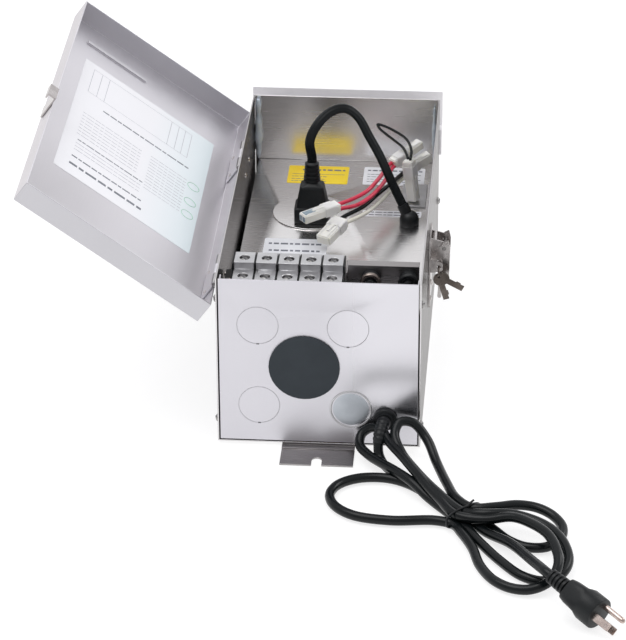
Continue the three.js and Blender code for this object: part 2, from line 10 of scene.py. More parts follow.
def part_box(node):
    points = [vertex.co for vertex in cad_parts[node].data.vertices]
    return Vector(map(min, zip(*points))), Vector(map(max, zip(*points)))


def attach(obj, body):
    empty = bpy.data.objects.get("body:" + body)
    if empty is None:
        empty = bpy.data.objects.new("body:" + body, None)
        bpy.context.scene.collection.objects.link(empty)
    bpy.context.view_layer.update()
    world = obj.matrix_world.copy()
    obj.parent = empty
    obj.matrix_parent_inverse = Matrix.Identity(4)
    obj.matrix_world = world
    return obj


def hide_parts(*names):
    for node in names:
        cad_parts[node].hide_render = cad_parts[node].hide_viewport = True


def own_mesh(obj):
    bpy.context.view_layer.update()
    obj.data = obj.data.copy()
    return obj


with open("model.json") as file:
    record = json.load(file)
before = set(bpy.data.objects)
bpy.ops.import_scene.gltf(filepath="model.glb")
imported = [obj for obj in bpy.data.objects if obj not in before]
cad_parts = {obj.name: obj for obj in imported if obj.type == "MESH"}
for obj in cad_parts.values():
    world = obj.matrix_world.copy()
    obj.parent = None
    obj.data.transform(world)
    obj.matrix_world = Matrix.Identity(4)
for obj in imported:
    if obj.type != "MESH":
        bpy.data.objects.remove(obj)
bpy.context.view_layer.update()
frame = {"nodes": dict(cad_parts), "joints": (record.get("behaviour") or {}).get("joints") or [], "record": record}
NODES = frame["nodes"]
BODY_OF = {
    node: body
    for body, members in frame["record"]["behaviour"]["bodies"].items()
    for node in members
}

# ---- driving dimensions, in millimetres ----
# X and Y run from the case's lower left corner and Z from the wall plane.
WIDTH = 171.5  # of the case, across its sides
DECK_TOP = 94
DOOR_INNER = 159.4  # the door panel's inner face, with the door shut
HINGES_Y = (28, 250)  # where each hinge begins
KNOCKOUTS = [(35, 115.6), (35.6, 39.5), (110.5, 115), (113, 38)]
KNOCKOUT_RADIUS = 17.45
SHEET = {"x0": 15, "x1": 155.6, "y0": 93, "y1": 307}  # as on the shut door
LUG_COUNT = 5
LUG_X0 = 19.6
LUG_PITCH = 18.75
LUG_SCREWS = [(36.5, 139.6), (57, 146)]  # y and z of the two screws on each lug
BREAKERS_X = (126, 158)
BREAKER_Z = 131.5
TIMER_PLUG = (63, 238)
DOME = (150, 235)
WIRE_RADIUS = 1.85
JUMPER_RADIUS = 1.25
GLAND = (142, 30)
CORD_DIAMETER = 8.3
TIE = (213, -115)
TIE_ACROSS = (0.73, 0.68)  # the direction across the bundle
PLUG_FACE = (322.5, -261, 14)
PLUG_AXIS = Vector((0.71, -0.67, -0.2)).normalized()
PLUG_EARTH = Vector((0.71, 0.28, 0.64))
PLUG_LENGTH = 54  # from the face to the back of the neck

# ---- places ----
MM = 0.001
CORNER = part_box("case_shell")[0]
HINGE = next(j for j in frame["joints"] if j["name"] == "door_hinge")
DOOR_OPEN = math.radians(HINGE["range_deg"][1])


def at(x, y, z):
    """A point in millimetres from the case's lower left corner, above the wall plane."""
    return Vector((CORNER.x + x * MM, CORNER.y + y * MM, z * MM))


def on_door(x, y, z=DOOR_INNER):
    """A point given on the shut door, where it is with the door open."""
    pivot = Vector(HINGE["pos_m"])
    turn = Matrix.Rotation(-DOOR_OPEN, 3, "Y")
    return pivot + turn @ (at(x, y, z) - pivot)


# ---- camera, floor and light ----
CAMERA_AT = at(270.4, -2480.6, 1486.1)
CAMERA_FORWARD = Vector((-0.06663, 0.87438, -0.48065))
CAMERA_UP = Vector((-0.03193, 0.47960, 0.87691))
CAMERA_LENS = 192.15


def make_camera():
    """A long lens from the lower right, above the case."""
    data = bpy.data.cameras.new("camera")
    data.lens = CAMERA_LENS
    data.sensor_width = 36
    camera = bpy.data.objects.new("camera", data)
    right = CAMERA_FORWARD.cross(CAMERA_UP).normalized()
    up = right.cross(CAMERA_FORWARD).normalized()
    camera.matrix_world = Matrix((right, up, -CAMERA_FORWARD.normalized())).transposed().to_4x4()
    camera.location = CAMERA_AT
    bpy.context.collection.objects.link(camera)
    bpy.context.scene.camera = camera


def area_light(name, location, target, size, power):
    """A square lamp that looks at the target."""
    data = bpy.data.lights.new(name, "AREA")
    data.size = size
    data.energy = power
    light = bpy.data.objects.new(name, data)
    light.location = location
    direction = Vector(target) - Vector(location)
    light.rotation_euler = direction.to_track_quat("-Z", "Y").to_euler()
    bpy.context.collection.objects.link(light)


def make_world():
    """A white room, darker on the viewer's side, so that the steel has grey to reflect."""
    world = bpy.data.worlds.new("studio")
    bpy.context.scene.world = world
    world.use_nodes = True
    nodes, links = world.node_tree.nodes, world.node_tree.links
    place = nodes.new("ShaderNodeTexCoord")
    split = nodes.new("ShaderNodeSeparateXYZ")
    ramp = nodes.new("ShaderNodeValToRGB")
    spread = nodes.new("ShaderNodeMapRange")
    spread.inputs["From Min"].default_value = -1
    links.new(place.outputs["Generated"], split.inputs[0])
    links.new(split.outputs["Y"], spread.inputs["Value"])
    links.new(spread.outputs["Result"], ramp.inputs["Fac"])
    ramp.color_ramp.elements[0].color = (0.47, 0.46, 0.47, 1)
    ramp.color_ramp.elements[1].color = (0.95, 0.95, 0.97, 1)
    middle = ramp.color_ramp.elements.new(0.45)
    middle.color = (0.68, 0.68, 0.70, 1)
    links.new(ramp.outputs["Color"], nodes["Background"].inputs["Color"])
    nodes["Background"].inputs["Strength"].default_value = 1.0


def make_floor():
    """White paper with a glow of its own, so that the shadows on it stay faint."""
    bpy.ops.mesh.primitive_plane_add(size=8)
    floor = bpy.context.object
    floor.name = "floor"
    paper = bpy.data.materials.new("paper")
    paper.use_nodes = True
    shader = paper.node_tree.nodes["Principled BSDF"]
    shader.inputs["Base Color"].default_value = (0.34, 0.34, 0.34, 1)
    shader.inputs["Roughness"].default_value = 0.9
    shader.inputs["Emission Color"].default_value = (1, 1, 1, 1)
    shader.inputs["Emission Strength"].default_value = 0.76
    floor.data.materials.append(paper)


def make_lights():
    area_light("softbox", (-0.6, -0.6, 2.2), (0, -0.2, 0), 1.6, 20)
    area_light("fill", (1.6, 0.6, 1.4), (0, -0.2, 0.1), 0.9, 7)
    bpy.context.scene.view_settings.view_transform = "Standard"


# ---- materials ----
def add_noise(tree, scale, detail, stretch=(1, 1, 1)):
    """A noise texture in object space, drawn out along the axes with a small stretch."""
    place = tree.nodes.new("ShaderNodeTexCoord")
    mapping = tree.nodes.new("ShaderNodeMapping")
    noise = tree.nodes.new("ShaderNodeTexNoise")
    mapping.inputs["Scale"].default_value = stretch
    noise.inputs["Scale"].default_value = scale
    noise.inputs["Detail"].default_value = detail
    tree.links.new(place.outputs["Object"], mapping.inputs["Vector"])
    tree.links.new(mapping.outputs["Vector"], noise.inputs["Vector"])
    return noise


def add_range(tree, source, low, high):
    """Map a noise's middle half onto low to high."""
    spread = tree.nodes.new("ShaderNodeMapRange")
    spread.inputs["From Min"].default_value = 0.25
    spread.inputs["From Max"].default_value = 0.75
    spread.inputs["To Min"].default_value = low
    spread.inputs["To Max"].default_value = high
    tree.links.new(source, spread.inputs["Value"])
    return spread.outputs["Result"]


def add_bump(tree, shader, source, strength, distance, normal=None):
    """Raise the surface by the source, on top of an earlier bump if one is given."""
    bump = tree.nodes.new("ShaderNodeBump")
    bump.inputs["Strength"].default_value = strength
    bump.inputs["Distance"].default_value = distance
    tree.links.new(source, bump.inputs["Height"])
    if normal is not None:
        tree.links.new(normal, bump.inputs["Normal"])
    tree.links.new(bump.outputs["Normal"], shader.inputs["Normal"])
    return bump.outputs["Normal"]


def add_tint(tree, shader, source, dark, light):
    """Blend the base colour from dark to light by the source."""
    ramp = tree.nodes.new("ShaderNodeValToRGB")
    ramp.color_ramp.elements[0].position = 0.3
    ramp.color_ramp.elements[1].position = 0.7
    ramp.color_ramp.elements[0].color = (*dark, 1)
    ramp.color_ramp.elements[1].color = (*light, 1)
    tree.links.new(source, ramp.inputs["Fac"])
    tree.links.new(ramp.outputs["Color"], shader.inputs["Base Color"])


def new_material(name):
    material = bpy.data.materials.new(name)
    material.use_nodes = True
    return material, material.node_tree, material.node_tree.nodes["Principled BSDF"]


def steel(name, dark, light, rough, along, waves=0.12, grain=0.03, edge=1.0):
    """Rolled stainless sheet: grain drawn out along an axis, slow waves and smudges."""
    material, tree, shader = new_material(name)
    shader.inputs["Metallic"].default_value = 1
    shader.inputs["Specular Tint"].default_value = (edge, edge * 0.97, edge * 0.95, 1)
    lines = add_noise(tree, 700, 2, along)
    smudge = add_noise(tree, 9, 2)
    sway = add_noise(tree, 7, 1)
    add_tint(tree, shader, smudge.outputs["Fac"], dark, light)
    rough_range = add_range(tree, lines.outputs["Fac"], *rough)
    tree.links.new(rough_range, shader.inputs["Roughness"])
    normal = add_bump(tree, shader, sway.outputs["Fac"], waves, 0.004)
    add_bump(tree, shader, lines.outputs["Fac"], grain, 0.00005, normal)
    return material


def shade_facing(material, axis, share, start=0.0, end=1.0, both=True):
    """Painted shade: darken the base colour of faces that look along an axis, both ways or only up it, for folded
    sides that reflect a darker room.
    """
    tree = material.node_tree
    shader = tree.nodes["Principled BSDF"]
    tint = shader.inputs["Base Color"].links[0].from_socket
    place = tree.nodes.new("ShaderNodeTexCoord")
    split = tree.nodes.new("ShaderNodeSeparateXYZ")
    size = tree.nodes.new("ShaderNodeMath")
    size.operation = "ABSOLUTE" if both else "MAXIMUM"
    size.inputs[1].default_value = 0
    spread = tree.nodes.new("ShaderNodeMapRange")
    spread.inputs["From Min"].default_value = start
    spread.inputs["From Max"].default_value = end
    spread.inputs["To Min"].default_value = 1
    spread.inputs["To Max"].default_value = share
    scale = tree.nodes.new("ShaderNodeVectorMath")
    scale.operation = "SCALE"
    tree.links.new(place.outputs["Normal"], split.inputs[0])
    tree.links.new(split.outputs[axis], size.inputs[0])
    tree.links.new(size.outputs[0], spread.inputs["Value"])
    tree.links.new(tint, scale.inputs[0])
    tree.links.new(spread.outputs["Result"], scale.inputs["Scale"])
    tree.links.new(scale.outputs[0], shader.inputs["Base Color"])
    return material


def polish_towards(material, start, end, dull, polished):
    """Replace the roughness by one that falls from dull to polished between two X places."""
    tree = material.node_tree
    shader = tree.nodes["Principled BSDF"]
    place = tree.nodes.new("ShaderNodeTexCoord")
    split = tree.nodes.new("ShaderNodeSeparateXYZ")
    spread = tree.nodes.new("ShaderNodeMapRange")
    spread.interpolation_type = "SMOOTHSTEP"
    spread.inputs["From Min"].default_value = start
    spread.inputs["From Max"].default_value = end
    spread.inputs["To Min"].default_value = dull
    spread.inputs["To Max"].default_value = polished
    tree.links.new(place.outputs["Object"], split.inputs[0])
    tree.links.new(split.outputs["X"], spread.inputs["Value"])
    tree.links.new(spread.outputs["Result"], shader.inputs["Roughness"])
    return material


def metal(name, dark, light, rough, grain=0.25):
    """Cast or plated metal with a fine random surface."""
    material, tree, shader = new_material(name)
    shader.inputs["Metallic"].default_value = 1
    patches = add_noise(tree, 90, 4)
    pits = add_noise(tree, 1500, 2)
    add_tint(tree, shader, patches.outputs["Fac"], dark, light)
    tree.links.new(add_range(tree, patches.outputs["Fac"], *rough), shader.inputs["Roughness"])
    add_bump(tree, shader, pits.outputs["Fac"], grain, 0.00008)
    return material


def plastic(name, dark, light, rough, coat=0.0, grain=0.15, glow=0.0, shine=0.5):
    """Moulded plastic or rubber: faint mottling, fine surface and an optional soft inner glow."""
    material, tree, shader = new_material(name)
    mottle = add_noise(tree, 60, 3)
    pits = add_noise(tree, 1200, 2)
    add_tint(tree, shader, mottle.outputs["Fac"], dark, light)
    tree.links.new(add_range(tree, mottle.outputs["Fac"], *rough), shader.inputs["Roughness"])
    add_bump(tree, shader, pits.outputs["Fac"], grain, 0.00008)
    shader.inputs["Coat Weight"].default_value = coat
    shader.inputs["Coat Roughness"].default_value = 0.2
    shader.inputs["Specular IOR Level"].default_value = shine
    if glow:
        shader.inputs["Subsurface Weight"].default_value = glow
        shader.inputs["Subsurface Radius"].default_value = (0.004, 0.004, 0.003)
        shader.inputs["Subsurface Scale"].default_value = 1
    return material


LENGTHWISE = (1, 0.03, 1)
CROSSWISE = (0.03, 1, 1)
MATERIALS = {
    "front": polish_towards(
        steel("front", (0.66, 0.65, 0.69), (0.71, 0.70, 0.74), (0.1, 0.2), CROSSWISE, 0.06),
        at(84, 0, 0).x, at(132, 0, 0).x, 0.45, 0.2,
    ),
    "inside": steel("inside", (0.80, 0.785, 0.78), (0.88, 0.87, 0.865), (0.24, 0.28), CROSSWISE,
                    grain=0.012),
    # painted shade: faces of the case that look along X get a darker base colour
    "outside": shade_facing(
        steel("outside", (0.68, 0.665, 0.67), (0.76, 0.745, 0.75), (0.16, 0.24), LENGTHWISE,
              edge=0.35),
        "X", 0.6,
    ),
    # painted reflection: the steel rain hood is drawn as matte white so that it shows as bright as the sky it
    # reflects; its faces that look up Y or along X get painted shade
    "hood": shade_facing(
        shade_facing(
            plastic("hood", (0.90, 0.89, 0.91), (0.95, 0.94, 0.96), (0.3, 0.4), 0, 0.05),
            "Y", 0.55, 0.3, 0.9, both=False,
        ),
        "X", 0.6, 0.5, 0.9,
    ),
    # painted shade: the door's flanges that look along Y, and those half turned to X, get a darker base colour
    "door": shade_facing(
        shade_facing(
            steel("door", (0.82, 0.81, 0.85), (0.88, 0.87, 0.91), (0.36, 0.42), LENGTHWISE, 0.05,
                  0.02),
            "Y", 0.68,
        ),
        "X", 0.8, 0.6, 0.8,
    ),
    "bracket": steel("bracket", (0.28, 0.27, 0.27), (0.38, 0.365, 0.365), (0.24, 0.36), CROSSWISE),
    "bright": metal("bright", (0.55, 0.52, 0.50), (0.72, 0.69, 0.67), (0.15, 0.3)),
    "latch": metal("latch", (0.46, 0.43, 0.42), (0.66, 0.63, 0.62), (0.2, 0.32)),
    "lug": metal("lug", (0.52, 0.52, 0.53), (0.64, 0.64, 0.65), (0.3, 0.42)),
    "key": metal("key", (0.10, 0.085, 0.075), (0.22, 0.19, 0.17), (0.2, 0.34)),
    "screw": metal("screw", (0.26, 0.255, 0.25), (0.42, 0.41, 0.40), (0.2, 0.35)),
    "collar": metal("collar", (0.16, 0.135, 0.12), (0.34, 0.29, 0.26), (0.2, 0.35)),
    "pin_metal": metal("pin_metal", (0.50, 0.40, 0.36), (0.74, 0.63, 0.58), (0.15, 0.28)),
    "core": metal("core", (0.10, 0.10, 0.11), (0.18, 0.18, 0.19), (0.4, 0.6)),
    "copper": metal("copper", (0.35, 0.14, 0.06), (0.5, 0.22, 0.1), (0.3, 0.5)),
    "black": plastic("black", (0.006, 0.007, 0.008), (0.012, 0.014, 0.015), (0.36, 0.46),
                     shine=0.3),
    "plug_hole": plastic("plug_hole", (0.026, 0.034, 0.042), (0.034, 0.043, 0.052), (0.5, 0.6),
                         shine=0.3),
    "rubber": plastic("rubber", (0.006, 0.007, 0.008), (0.011, 0.013, 0.015), (0.34, 0.44),
                      shine=0.35),
    "cord": plastic("cord", (0.003, 0.0045, 0.005), (0.006, 0.008, 0.009), (0.2, 0.28), 0, 0.05,
                    shine=0.27),
    "nylon": plastic("nylon", (0.80, 0.79, 0.74), (0.90, 0.89, 0.85), (0.28, 0.42), 0.1, 0.1, 0.35),
    "socket": plastic("socket", (0.20, 0.27, 0.32), (0.34, 0.41, 0.46), (0.2, 0.35)),
    "red": plastic("red", (0.60, 0.02, 0.06), (0.74, 0.045, 0.1), (0.25, 0.35), 0.25),
    "white": plastic("white", (0.74, 0.72, 0.62), (0.84, 0.82, 0.74), (0.28, 0.38), 0.2),
    "label": plastic("label", (0.84, 0.85, 0.89), (0.89, 0.90, 0.94), (0.34, 0.44), 0.1, 0.04),
    "yellow": plastic("yellow", (0.92, 0.64, 0.01), (0.98, 0.74, 0.03), (0.3, 0.4), 0.1, 0.04),
    "print": plastic("print", (0.14, 0.15, 0.18), (0.2, 0.21, 0.25), (0.4, 0.5)),
    "pale_print": plastic("pale_print", (0.42, 0.42, 0.46), (0.55, 0.55, 0.6), (0.4, 0.5)),
    "green_print": plastic("green_print", (0.3, 0.55, 0.42), (0.4, 0.64, 0.5), (0.4, 0.5)),
    "silicone": plastic("silicone", (0.40, 0.46, 0.52), (0.56, 0.62, 0.68), (0.15, 0.35), 0.4, 0.1,
                        0.4),
    # painted shade: the dark colour of screw slots and blade holes, drawn as pieces rather than cut, stands for
    # the shade inside them
    "groove": metal("groove", (0.10, 0.10, 0.11), (0.2, 0.2, 0.21), (0.3, 0.5)),
    "score": metal("score", (0.62, 0.62, 0.64), (0.72, 0.72, 0.74), (0.3, 0.5)),
    "blank": metal("blank", (0.44, 0.47, 0.51), (0.54, 0.57, 0.61), (0.36, 0.42), 0.05),
}


# ---- making pieces ----
def finish_piece(obj, material, body, nodes=(), smooth=True, angle=35):
    """Give a piece its material and body, and hide the CAD nodes that it stands for."""
    obj.data.materials.clear()
    obj.data.materials.append(MATERIALS[material])
    if obj.type == "MESH":
        obj.data.shade_smooth() if smooth else obj.data.shade_flat()
        if smooth and angle < 180:
            obj.data.set_sharp_from_angle(angle=math.radians(angle))
    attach(obj, body)
    if nodes:
        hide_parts(*nodes)
    return obj


def object_from(name, mesh):
    obj = bpy.data.objects.new(name, mesh)
    bpy.context.collection.objects.link(obj)
    return obj


def object_from_bmesh(name, shape):
    bmesh.ops.recalc_face_normals(shape, faces=shape.faces)
    mesh = bpy.data.meshes.new(name)
    shape.to_mesh(mesh)
    shape.free()
    return object_from(name, mesh)


def soften(node, material, width, segments=2):
    """Show a CAD piece with its edges broken by a small bevel."""
    shape = bmesh.new()
    shape.from_mesh(NODES[node].data)
    bmesh.ops.remove_doubles(shape, verts=shape.verts, dist=1e-6)
    bmesh.ops.dissolve_limit(
        shape, angle_limit=math.radians(1), verts=shape.verts, edges=shape.edges
    )
    obj = object_from_bmesh(f"{node}_look", shape)
    bevel = obj.modifiers.new("broken edges", "BEVEL")
    bevel.width = width * MM
    bevel.segments = segments
    bevel.limit_method = "ANGLE"
    bevel.angle_limit = math.radians(40)
    return finish_piece(obj, material, BODY_OF[node], [node])


def loft(name, rings):
    """A skin through rings of points that all have the same count, capped at both ends."""
    shape = bmesh.new()
    rows = [[shape.verts.new(point) for point in ring] for ring in rings]
    for low, high in zip(rows, rows[1:]):
        for i in range(len(low)):
            j = (i + 1) % len(low)
            shape.faces.new((low[i], low[j], high[j], high[i]))
    shape.faces.new(rows[0])
    shape.faces.new(rows[-1])
    return object_from_bmesh(name, shape)


def lathe(name, profile, frame_matrix, sides):
    """Turn (radius, height) points in millimetres about the frame's Z axis."""
    rings = []
    for radius, height in profile:
        ring = []
        for i in range(sides):
            angle = 2 * math.pi * i / sides
            point = Vector((radius * math.cos(angle), radius * math.sin(angle), height)) * MM
            ring.append(frame_matrix @ point)
        rings.append(ring)
    return loft(name, rings)


def smooth_path(points, step=1.5):
    """Centripetal Catmull-Rom points through the given ones, about step millimetres apart."""
    points = [Vector(p) for p in points]
    points = [2 * points[0] - points[1], *points, 2 * points[-1] - points[-2]]
    path = []
    for p0, p1, p2, p3 in zip(points, points[1:], points[2:], points[3:]):
        t1 = (p1 - p0).length ** 0.5
        t2 = t1 + (p2 - p1).length ** 0.5
        t3 = t2 + (p3 - p2).length ** 0.5
        count = max(2, round((p2 - p1).length / (step * MM)))
        for i in range(count):
            t = t1 + (t2 - t1) * i / count
            a1 = p0.lerp(p1, t / t1)
            a2 = p1.lerp(p2, (t - t1) / (t2 - t1))
            a3 = p2.lerp(p3, (t - t2) / (t3 - t2))
            b1 = a1.lerp(a2, t / t2)
            b2 = a2.lerp(a3, (t - t1) / (t3 - t1))
            path.append(b1.lerp(b2, (t - t1) / (t2 - t1)))
    path.append(points[-2])
    return path


def sweep(name, path, profile, across):
    """Carry a flat profile, (across, thick) points in millimetres, along a path without twist."""
    rings = []
    side = Vector(across)
    for i, point in enumerate(path):
        ahead = path[min(i + 1, len(path) - 1)] - path[max(i - 1, 0)]
        ahead.normalize()
        side = (side - ahead * side.dot(ahead)).normalized()
        thick = ahead.cross(side)
        rings.append([point + (side * a + thick * b) * MM for a, b in profile])
    return loft(name, rings)


def circle(radius, sides):
    """A round profile for sweep, or for rings laid by hand."""
    return [
        (radius * math.cos(2 * math.pi * i / sides), radius * math.sin(2 * math.pi * i / sides))
        for i in range(sides)
    ]


def frame_at(origin, z_axis, y_hint=(0, 0, 1)):
    """A frame with its Z along z_axis and its Y as near as can be to y_hint."""
    z = Vector(z_axis).normalized()
    x = Vector(y_hint).cross(z).normalized()
    y = z.cross(x)
    return Matrix.Translation(origin) @ Matrix((x, y, z)).transposed().to_4x4()


def moved(place, x, y, z):
    """The frame shifted along its own axes, in millimetres."""
    return place @ Matrix.Translation(Vector((x, y, z)) * MM)


def add_block(shape, matrix, size, edge):
    """Add a block centred on the matrix, with rounded edges, to a bmesh."""
    block = bmesh.ops.create_cube(shape, size=1)
    scale = Matrix.Diagonal((*[s * MM for s in size], 1))
    bmesh.ops.transform(shape, matrix=matrix @ scale, verts=block["verts"])
    if edge:
        edges = list({e for v in block["verts"] for e in v.link_edges})
        bmesh.ops.bevel(shape, geom=edges, offset=edge * MM, segments=2, affect="EDGES")


def blocks(name, items):
    """One mesh of several rounded blocks: (matrix, size, edge) each."""
    shape = bmesh.new()
    for matrix, size, edge in items:
        add_block(shape, matrix, size, edge)
    return object_from_bmesh(name, shape)


def rounded_section(width, depth, roundness, height, matrix):
    """A superellipse ring: roundness 2 is an ellipse, larger is squarer."""
    sides = 32
    ring = []
    for i in range(sides):
        angle = 2 * math.pi * (i + 0.5) / sides
        c, s = math.cos(angle), math.sin(angle)
        x = math.copysign(abs(c) ** (2 / roundness), c) * width
        y = math.copysign(abs(s) ** (2 / roundness), s) * depth
        ring.append(matrix @ (Vector((x, y, height)) * MM))
    return ring


def torus(name, matrix, radius, wire, sides, wire_sides):
    """A ring about the frame's Z axis."""
    shape = bmesh.new()
    rows = []
    for i in range(sides):
        angle = 2 * math.pi * i / sides
        turn = matrix @ Matrix.Rotation(angle, 4, "Z")
        rows.append([
            shape.verts.new(turn @ (Vector((radius + a, 0, b)) * MM))
            for a, b in circle(wire, wire_sides)
        ])
    for i, row in enumerate(rows):
        after = rows[(i + 1) % sides]
        for k in range(wire_sides):
            m = (k + 1) % wire_sides
            shape.faces.new((row[k], row[m], after[m], after[k]))
    return object_from_bmesh(name, shape)


def join_pieces(name, pieces):
    """Merge several fresh objects into one mesh."""
    shape = bmesh.new()
    for piece in pieces:
        shape.from_mesh(piece.data)
    for piece in pieces:
        bpy.data.objects.remove(piece)
    return object_from_bmesh(name, shape)


def heads(name, places, radius, height, material, body, slotted=False):
    """Domed rivet or screw heads at (point, axis) places, with a slot if asked: a dark bar of painted shade on the
    head, not a cut.
    """
    dome = [(0.05, 0), (radius, 0), (radius, height * 0.35), (radius * 0.82, height * 0.75),
            (radius * 0.45, height), (0.05, height * 1.04)]
    parts = [
        lathe("head", dome, frame_at(point, axis, (0.3, 0.5, 0.8)), 20) for point, axis in places
    ]
    finish_piece(join_pieces(name, parts), material, body)
    if slotted:
        size = (radius * 1.7, radius * 0.32, height * 0.5)
        lift = height * 0.84 * MM
        slots = [
            (frame_at(point + Vector(axis) * lift, axis, (0.7, 0.6, 0.4)), size, 0)
            for point, axis in places
        ]
        finish_piece(blocks(f"{name}_slots", slots), "groove", body, smooth=False)


# ---- case and door ----
CASE_PIECES = {
    "case_shell": "outside",
    "bottom_plate": "front",
    "top_wall": "inside",
    "rain_hood": "hood",
    "deck": "inside",
    "mounting_tab": "bracket",
    "hanger_plate": "bracket",
    "hole_plug": "plug_hole",
    "terminal_bracket": "bracket",
    "transformer_core": "core",
    "socket_plate": "lug",
}
KNOCKOUT_DOME = [(0.05, 0.8), (6, 0.72), (11, 0.5), (14.6, 0.2), (16.6, -0.1), (0.05, -0.1)]
SIDE_SCREWS = (136, 21)  # heights of the two screws at the lower end of each side
SEALANT = [
    # name, x, height of its top, radius, side of the case it leans to
    ("sealant_left", 4.6, 156, 4.8, 1),
    ("sealant_right", 166.8, 152, 2.8, -1),
]
SEALANT_FOOT = 96
SEALANT_Y = 357.3


def make_case():
    """The case's plain pieces, the transformer and the hinges, with their CAD shapes."""
    for node, material in CASE_PIECES.items():
        soften(node, material, 0.25)
    soften("transformer_winding", "copper", 3, 3)
    for i in (1, 2):
        soften(f"hinge_case_leaf_{i}", "outside", 0.25)
        soften(f"hinge_door_leaf_{i}", "door", 0.25)
        soften(f"hinge_pin_{i}", "screw", 0.2)


def make_knockouts():
    """Each knockout has a scored line and a tie at its foot; the last is domed, with a rim."""
    for i, (x, z) in enumerate(KNOCKOUTS, 1):
        place = frame_at(at(x, 0.22, z), (0, -1, 0))
        line = torus(f"knockout_line_{i}", place, KNOCKOUT_RADIUS, 0.24, 72, 8)
        finish_piece(line, "score", "case")
        foot = frame_at(at(x, 0, z - KNOCKOUT_RADIUS), (0, -1, 0))
        tie = blocks(f"knockout_tie_{i}", [(foot, (2.4, 1.2, 0.35), 0.1)])
        finish_piece(tie, "groove", "case", smooth=False)
    x, z = KNOCKOUTS[-1]
    place = frame_at(at(x, 0.1, z), (0, -1, 0))
    rim = torus("knockout_rim", place, KNOCKOUT_RADIUS - 0.3, 0.85, 72, 10)
    finish_piece(rim, "lug", "case")
    blank = lathe("knockout_blank", KNOCKOUT_DOME, place, 64)
    finish_piece(blank, "blank", "case", angle=60)


def make_case_fixings():
    """Screws in the sides, and the rivets of the hinges, the latch and the door."""
    left, right = Vector((-1, 0, 0)), Vector((1, 0, 0))
    side_screws = [(at(0, 8, z), left) for z in SIDE_SCREWS]
    side_screws += [(at(WIDTH, 8, z), right) for z in SIDE_SCREWS]
    side_screws += [(at(WIDTH, 335, 68), right), (at(0, 335, 68), left)]
    heads("side_screws", side_screws, 3.4, 2.2, "screw", "case", slotted=True)
    hinge_rivets = [
        (at(1.2, y, 126), right) for first in HINGES_Y for y in (first + 9, first + 42)
    ]
    heads("hinge_rivets", hinge_rivets, 2.2, 1.1, "bright", "case")
    latch_rivets = [(at(WIDTH + 1.7, y, z), right) for y in (142.5, 170.5) for z in (70, 86)]
    heads("latch_rivets", latch_rivets, 2.4, 1.3, "bright", "case")
    inwards = (on_door(-3, 0, 153) - on_door(-4, 0, 153)).normalized()
    door_rivets = [
        (on_door(-4, y, 153), inwards) for first in HINGES_Y for y in (first + 8, first + 43)
    ]
    heads("door_rivets", door_rivets, 1.8, 0.8, "bright", "door")


def make_silicone():
    """Beads of sealant down the two far corners, with a lumpy edge."""
    steps = 30
    for name, x, top, radius, across in SEALANT:
        rings = []
        for i in range(steps + 1):
            t = i / steps
            z = SEALANT_FOOT + (top - SEALANT_FOOT) * t
            swell = 1 + 0.22 * math.sin(9 * t + x) + 0.16 * math.sin(23 * t)
            edge = math.sin(math.pi * min(max(t, 0.02), 0.98)) ** 0.25
            ring = circle(radius * swell * edge, 12)
            rings.append([at(x + across * 0.65 * a, SEALANT_Y + 0.8 * b, z) for a, b in ring])
        finish_piece(loft(name, rings), "silicone", "case", angle=180)


def make_door():
    """The pan with its latch keeper, and the pressed bead near its top."""
    soften("door_pan", "door", 0.4)
    soften("keeper", "latch", 0.25)
    bead = blocks("door_bead", [(door_matrix(127, 337.5, DOOR_INNER - 0.2), (66, 7, 3), 1.2)])
    finish_piece(bead, "door", "door")
    make_door_sheet()


def case_matrix(x, y, z):
    """A frame on the case, with Z away from the wall."""
    return Matrix.Translation(at(x, y, z))


def door_matrix(x, y, z):
    """A frame on the shut door, where it is with the door open, with Z towards the inside."""
    turn = Matrix.Rotation(-DOOR_OPEN, 4, "Y") @ Matrix.Rotation(math.pi, 4, "Y")
    return Matrix.Translation(on_door(x, y, z)) @ turn


# ---- labels ----
PLATE_DEPTH = 0.12
PRINT_LIFT = 0.16  # above what the plate lies on
PRINT_DEPTH = 0.06


def rounded_plate(name, matrix, width, height, corner):
    """A thin plate with round corners, centred on the matrix."""
    outline = []
    for quarter, (sx, sy) in enumerate(((1, 1), (-1, 1), (-1, -1), (1, -1))):
        for k in range(5):
            angle = math.pi / 2 * (quarter + k / 4)
            outline.append((
                sx * (width / 2 - corner) + corner * math.cos(angle),
                sy * (height / 2 - corner) + corner * math.sin(angle),
            ))
    rings = [
        [matrix @ (Vector((a, b, z)) * MM) for a, b in outline] for z in (0, PLATE_DEPTH)
    ]
    return loft(name, rings)


def bars(place, rows):
    """Plain bars in place of print: each row is (x0, x1, y, height, dash), dash 0 for a line."""
    items = []
    for x0, x1, y, height, dash in rows:
        x = x0
        count = 0
        while x < x1 - 0.2:
            length = min(dash * (0.7 + 0.45 * ((count * 7) % 3)) if dash else x1 - x0, x1 - x)
            items.append((place(x + length / 2, y, PRINT_LIFT), (length, height, PRINT_DEPTH), 0))
            x += length + max(0.8, height * 0.55)
            count += 1
    return items


def deck_place(x, y, lift):
    """A frame that far above the deck."""
    return case_matrix(x, y, DECK_TOP + lift)


